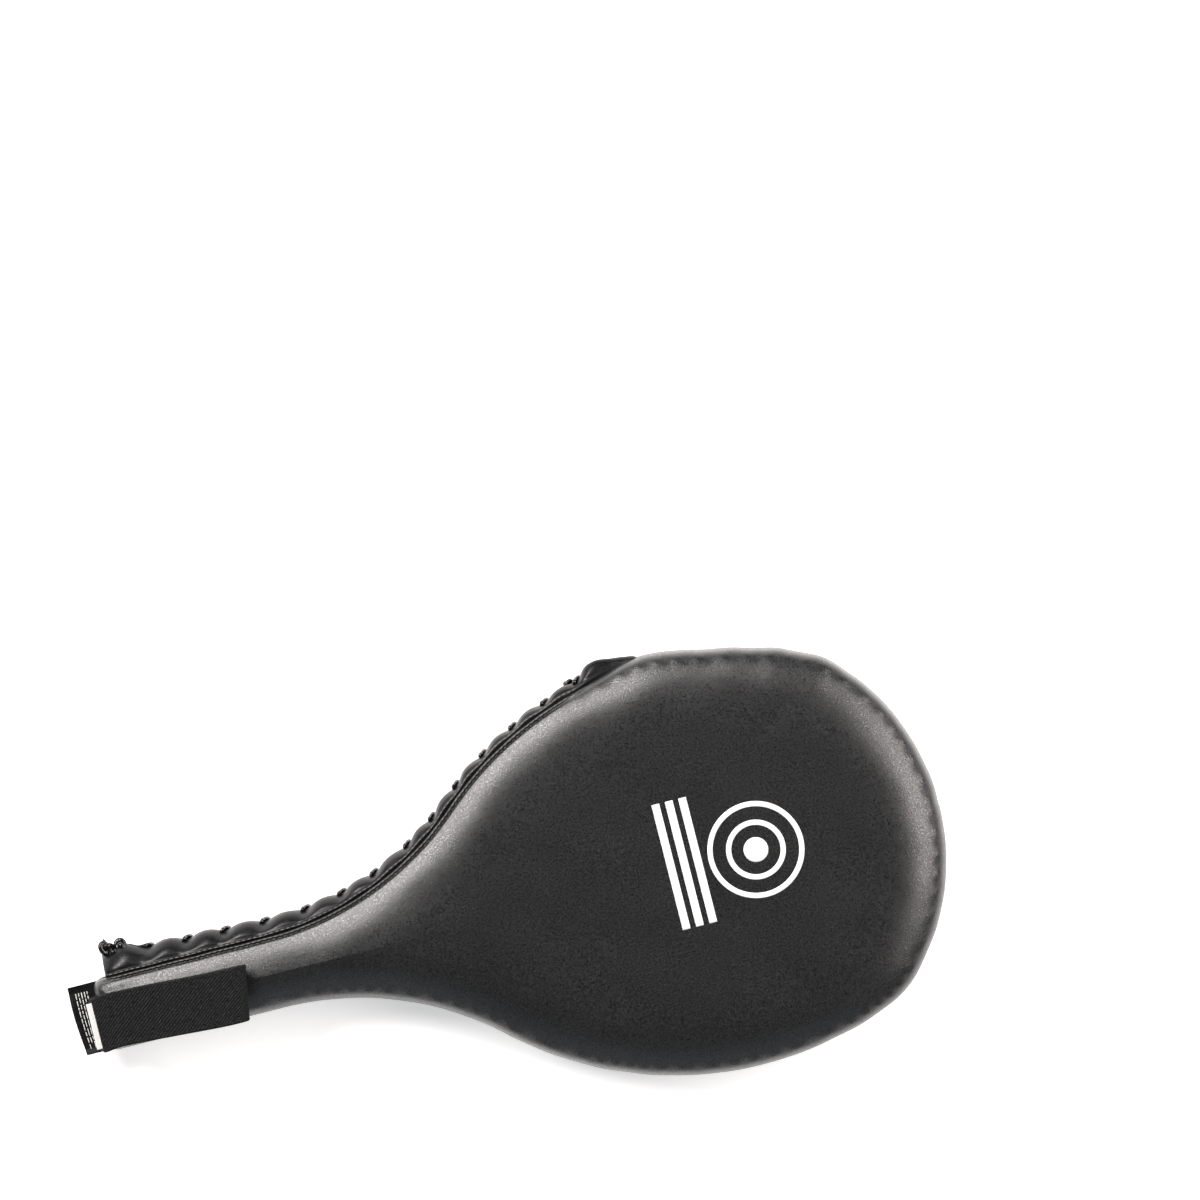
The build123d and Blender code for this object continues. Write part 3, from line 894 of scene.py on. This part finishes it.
class Look:
    """A Principled shader and the nodes that feed its colour, roughness and bump."""

    def __init__(self, name, colour, roughness, **sockets):
        self.material = bpy.data.materials.new(name)
        self.material.use_nodes = True
        self.nodes, self.links = self.material.node_tree.nodes, self.material.node_tree.links
        self.shader = self.nodes["Principled BSDF"]
        self.colour = colour
        set_sockets(self.shader, {"Base Color": (*colour, 1), "Roughness": roughness, **sockets})

    def node(self, kind, settings=(), **sockets):
        """A node with some of its settings and input sockets set."""
        node = self.nodes.new("ShaderNode" + kind)
        for key, value in dict(settings).items():
            setattr(node, key, value)
        set_sockets(node, sockets)
        return node

    def position(self, turn=0.0, sewn=False):
        """Object position, or the sewn UV, in metres and turned about Z."""
        if sewn:
            source = self.node("UVMap", {"uv_map": "sewn"}).outputs["UV"]
        else:
            source = self.node("TexCoord").outputs["Object"]
        return self.through(source, "Mapping", "Vector", "Vector", Rotation=(0, 0, turn))

    def through(self, source, kind, inlet, outlet, **sockets):
        """What a new node makes of a source."""
        node = self.node(kind, **sockets)
        self.links.new(source, node.inputs[inlet])
        return node.outputs[outlet]

    def noise(self, size, detail, rough):
        """Noise with features of about a size in millimetres."""
        return self.through(self.position(), "TexNoise", "Vector", "Fac",
                            Detail=detail, Roughness=rough, Scale=1 / (size * MM))

    def cells(self, size):
        """Voronoi cells of about a size in millimetres."""
        return self.through(self.position(), "TexVoronoi", "Vector", "Distance",
                            Scale=1 / (size * MM))

    def waves(self, size, turn):
        """Even ribs of a size in millimetres, along the sewn UV."""
        return self.through(self.position(turn, sewn=True), "TexWave", "Vector", "Fac",
                            Scale=tau / (20 * size * MM))

    def ramp(self, source, low, high, to_low=0.0, to_high=1.0):
        """Maps low to high onto another range."""
        return self.through(source, "MapRange", "Value", "Result",
                            From_Min=low, From_Max=high, To_Min=to_low, To_Max=to_high)

    def join(self, kind, a, b):
        node = self.node("Math", {"operation": kind})
        self.links.new(a, node.inputs[0])
        self.links.new(b, node.inputs[1])
        return node.outputs["Value"]

    def tint(self, share, low, high):
        """Colour from a share, as multiples of the base colour."""
        node = self.node("Mix", {"data_type": "RGBA"})
        ends = [s for s in node.inputs if s.type == "RGBA"]
        for end, level in zip(ends, (low, high)):
            end.default_value = (*(c * level for c in self.colour), 1)
        self.links.new(share, node.inputs[0])
        result = [s for s in node.outputs if s.type == "RGBA"][0]
        self.links.new(result, self.shader.inputs["Base Color"])

    def gloss(self, source, middle, spread):
        """Roughness from a share, either side of a middle."""
        result = self.ramp(source, 0, 1, middle - spread, middle + spread)
        self.links.new(result, self.shader.inputs["Roughness"])

    def bump(self, source, height):
        """Adds relief of a height in millimetres to what is there already."""
        node = self.node("Bump", Distance=height * MM, Strength=1.0)
        self.links.new(source, node.inputs["Height"])
        before = self.shader.inputs["Normal"]
        if before.is_linked:
            self.links.new(before.links[0].from_socket, node.inputs["Normal"])
        self.links.new(node.outputs["Normal"], before)


def leather(name, tone, roughness, grain, level=0.7):
    """Black coated leather: fine pebble grain with a satin skin."""
    look = Look(name, tone, roughness, Specular_IOR_Level=level)
    mottle = look.ramp(look.noise(26, 4, 0.6), 0.3, 0.7, 0.7, 1.0)
    speckle = look.ramp(look.noise(0.75, 2, 0.6), 0.36, 0.64)
    look.tint(look.join("MULTIPLY", mottle, speckle), 0.35, 2.3)
    look.gloss(look.ramp(look.noise(0.9, 4, 0.7), 0.35, 0.65), roughness, 0.10)
    look.bump(look.noise(0.5, 4, 0.7), 0.06 * grain)
    look.bump(look.cells(0.42), 0.062 * grain)
    look.bump(look.noise(14, 2, 0.5), 0.06 * grain)
    return look.material


def woven(name, colour, roughness, rib, turn, thread, height):
    """Narrow ribs over a finer cross thread."""
    look = Look(name, colour, roughness, Sheen_Weight=0.01, Sheen_Roughness=0.4,
                Specular_IOR_Level=0.1)
    ribs = look.waves(rib, turn)
    fluff = look.ramp(look.noise(0.65, 3, 0.6), 0.34, 0.66)
    look.tint(look.join("MULTIPLY", look.ramp(ribs, 0, 1, 0.2, 1.0), fluff), 0.1, 4.4)
    look.bump(ribs, height)
    look.bump(look.waves(thread, turn + 1.57), height * 0.5)
    look.bump(look.noise(0.45, 3, 0.6), height * 1.3)
    return look.material


def plain(name, colour, roughness, size, height, spread=0.12):
    """Noise-mottled material for thread, ink, plastic and foam."""
    look = Look(name, colour, roughness)
    look.tint(look.ramp(look.noise(size * 6, 3, 0.6), 0.3, 0.7), 1 - spread, 1 + spread)
    look.gloss(look.noise(size * 3, 2, 0.5), roughness, 0.05)
    look.bump(look.noise(size, 3, 0.6), height)
    return look.material


def braided(name, colour, roughness):
    """A round cord's fine braid, in two crossing sets of waves."""
    look = Look(name, colour, roughness, Specular_IOR_Level=0.55)
    crossing = look.join("MAXIMUM", look.waves(0.55, 0.7), look.waves(0.55, -0.7))
    look.tint(crossing, 0.7, 1.3)
    look.bump(crossing, 0.035)
    return look.material


MATERIALS = {
    "cover_leather": leather("cover_leather", (0.0060, 0.0063, 0.0066), 0.32, 1.0),
    "flap_leather": leather("flap_leather", (0.0028, 0.0030, 0.0036), 0.36, 0.15, 0.24),
    "lace": braided("lace_cord", (0.004, 0.004, 0.0045), 0.17),
    # the seam and bartack thread is black: its base colour is lifted to light grey as a painted
    # highlight, standing in for the glints along the glossy thread
    "thread": plain("grey_thread_painted_highlight", (0.13, 0.13, 0.125), 0.34, 0.35, 0.04),
    "dark_thread": plain("dark_thread", (0.012, 0.012, 0.012), 0.4, 0.35, 0.04),
    "elastic_webbing": woven("elastic_webbing", (0.0066, 0.0072, 0.0071), 0.85, 1.2, 0.87, 0.5,
                             0.06),
    "white_tape": plain("white_tape", (0.72, 0.72, 0.70), 0.7, 0.3, 0.03, 0.06),
    "black_satin": woven("black_satin", (0.005, 0.005, 0.0056), 0.42, 0.3, 0.0, 0.3, 0.02),
    "white_ink": plain("white_ink", (0.82, 0.82, 0.83), 0.42, 0.7, 0.02, 0.05),
    "foam": plain("foam_sheet", (0.55, 0.54, 0.50), 0.85, 0.8, 0.25),
    "soft_foam": plain("soft_foam", (0.62, 0.60, 0.52), 0.9, 1.1, 0.35),
    "core_plastic": plain("core_board", (0.08, 0.08, 0.085), 0.45, 0.9, 0.03, 0.1),
}


def place(obj, slot, *nodes, body="paddle", look=None):
    """Gives a piece its material (named by look, else by slot), the body that carries it and the
    CAD nodes it replaces.
    """
    obj.data.materials.clear()
    obj.data.materials.append(MATERIALS[look or slot])
    if body:
        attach(obj, body)
    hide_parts(*nodes)
    return obj


# ---- the object
SIDES = (("front", 1, FRONT_SEED), ("back", -1, BACK_SEED))
for word, side, seed in SIDES:
    skin = cover(word + "_cover_leather", side, seed)
    place(skin, "cover_leather", word + "_cover")
for word, side, seed in SIDES:
    firm = filling(word + "_foam_sheet", side, seed,
                   lambda high: np.full_like(high, CORE_HALF + LAYER_GAP),
                   lambda high: high - SOFT_LAYER - LAYER_GAP)
    place(firm, "foam", word + "_foam")
    soft = filling(word + "_soft_sheet", side, seed, lambda high: high - SOFT_LAYER,
                   lambda high: high)
    place(soft, "soft_foam", word + "_soft_layer")
for (word, side, _), closure in zip(SIDES, (facing, end_gusset)):
    leather_flap = join(word + "_flap_leather", [flap(side), closure()])
    place(leather_flap, "flap_leather", word + "_lacing_flap")

laced = np.where(laced_weight > 0.75)[0]
for word, side, seed in SIDES:
    first = stitches("row", *cover_row(laced, 0.65, side, seed), STITCH, fill=0.94, radius=0.27)
    second = stitches("row", *flap_row(1.25, side), STITCH, fill=0.72, radius=0.24)
    place(join(word + "_seam_stitches", [first, second]), "thread", word + "_seam_thread")

# this row runs from the end of the laced side round to its start, just behind mid thickness
closed = np.where(laced_weight < 0.02)[0]
closed = np.roll(closed, -np.argmax(np.diff(closed)) - 1)
path, _ = cover_row(closed, 0.4, -1, BACK_SEED)
up = np.column_stack([loop_normal[closed], np.full(len(closed), -0.3)])
side_row = stitches("side_seam_stitches", path, up, 3.0, radius=0.2)
place(side_row, "thread", "side_seam_thread", look="dark_thread")

path, (knot, knot_2), stop_centre = lace_path()
place(tube("lace", path, LACE_RADIUS, 12), "lace", "lacing_cord")
knot_parts = [
    knot_turns(knot, 1.7, 1.3, 0.5, 0.4, (0.95, 1.5, 1)),
    knot_turns(knot + (0.1, -0.4, -0.2), 0.9, 1.3, -0.4, 1.4, (1, 1.4, 1)),
    knot_turns(knot_2, 1.55, 1.25, -0.7, 1.5, (1.35, 1.0, 1)),
    knot_turns(knot_2 + (0.1, -0.2, -0.2), 0.85, 1.25, 0.3, 0.6, (1, 1.3, 1)),
    wraps((knot + knot_2) / 2 + (0.0, -2.4, -0.4), (1.6, 2.4), 0.95, 2.6, 1.7, 0.25, 0.25),
    cut_end(knot + (-0.2, 3.2, 0.4), (-0.2, 1.0, 0.1), 2.2, 0.85),
]
place(join("end_knot", knot_parts), "lace", "handle_end_knot")
place(knot_turns(stop_centre, 1.7, 0.9, 1.2), "lace", "far_end_knot").name = "stopper_knot"

webbing = place(wrist_webbing(), "elastic_webbing", "strap_root", "wrist_strap", body=None)
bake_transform(webbing)
satin = place(care_label(), "black_satin", "care_label", body=None)
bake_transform(satin)
place(folded_tag(), "white_tape", "origin_label")
place(bartack(), "thread", "strap_bartack")
place(label_lines(), "white_tape", "care_label_lines", body="label")
for word, stroke in (("ring", RING_STROKE), ("inner_ring", RING_STROKE), ("dot", None)):
    place(printed_disc(word, stroke), "white_ink", "print_" + word)
place(printed_bars(), "white_ink", "print_bars")

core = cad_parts["core_board"]
if not core.material_slots:
    core.data.materials.append(None)
for holder in core.material_slots:
    holder.material = MATERIALS["core_plastic"]


# ---- floor, light and camera
bpy.ops.mesh.primitive_plane_add(size=6, location=(0, 0, cad_box[0][2] - 0.0005))
floor = bpy.context.object
floor.name = "floor"
paper = Look("pale_floor", (0.93, 0.93, 0.93), 0.75, Specular_IOR_Level=0.2,
             Emission_Color=(1, 1, 1, 1), Emission_Strength=0.5)
paper.tint(paper.ramp(paper.noise(180, 2, 0.5), 0.3, 0.7), 0.99, 1.0)
floor.data.materials.append(paper.material)

PHOTO_TURN = radians(-14.2)
VIEW_CENTRE = Vector((-20.9 * MM, 127.4 * MM, 0))
VIEW_WIDTH = 540.5 * MM
CAMERA_HEIGHT = 2.5
SENSOR = 36
LIGHTS_AIM = (0, -0.1)


def in_view(right, up, height):
    """A place given by how far it is to the right of and above the photo's centre, in metres."""
    c, s = cos(PHOTO_TURN), sin(PHOTO_TURN)
    return VIEW_CENTRE + Vector((right * c - up * s, right * s + up * c, height))


def softbox(name, spot, width, length, power, colour):
    """An area light at a place in view, turned to the lights' aim with its length across."""
    light = bpy.data.lights.new(name, "AREA")
    light.shape = "RECTANGLE"
    light.size, light.size_y = width, length
    light.energy = power
    light.color = colour
    obj = add_object(name, light)
    away = in_view(*spot) - in_view(*LIGHTS_AIM, 0)
    across = Vector((-away.y, away.x, 0)).normalized()
    depth = away.normalized()
    obj.matrix_world = Matrix((depth.cross(across) * -1, across, depth)).transposed().to_4x4()
    obj.location = in_view(*spot)


softbox("left_softbox", (-0.98, 0.84, 1.28), 0.44, 1.5, 64, (1.0, 0.96, 0.94))
softbox("right_softbox", (1.20, 0.25, 1.10), 0.36, 1.3, 30, (1.0, 0.94, 0.91))
softbox("top_softbox", (0.05, 1.3, 1.0), 0.35, 0.9, 0.6, (0.78, 0.90, 1.0))
softbox("low_fill", (0.0, -1.35, 0.75), 0.8, 1.8, 2.4, (0.84, 0.93, 1.0))

world = bpy.data.worlds.new("studio")
bpy.context.scene.world = world
world.use_nodes = True
background = world.node_tree.nodes["Background"]
set_sockets(background, {"Color": (0.95, 0.97, 1.0, 1), "Strength": 0.06})

camera_data = bpy.data.cameras.new("camera")
camera_data.sensor_width = SENSOR
camera_data.lens = SENSOR * (CAMERA_HEIGHT - FACE_Z * MM) / VIEW_WIDTH
camera = add_object("camera", camera_data)
camera.location = VIEW_CENTRE + Vector((0, 0, CAMERA_HEIGHT))
camera.rotation_euler = (0, 0, PHOTO_TURN)
bpy.context.scene.camera = camera
bpy.context.scene.view_settings.view_transform = "Standard"
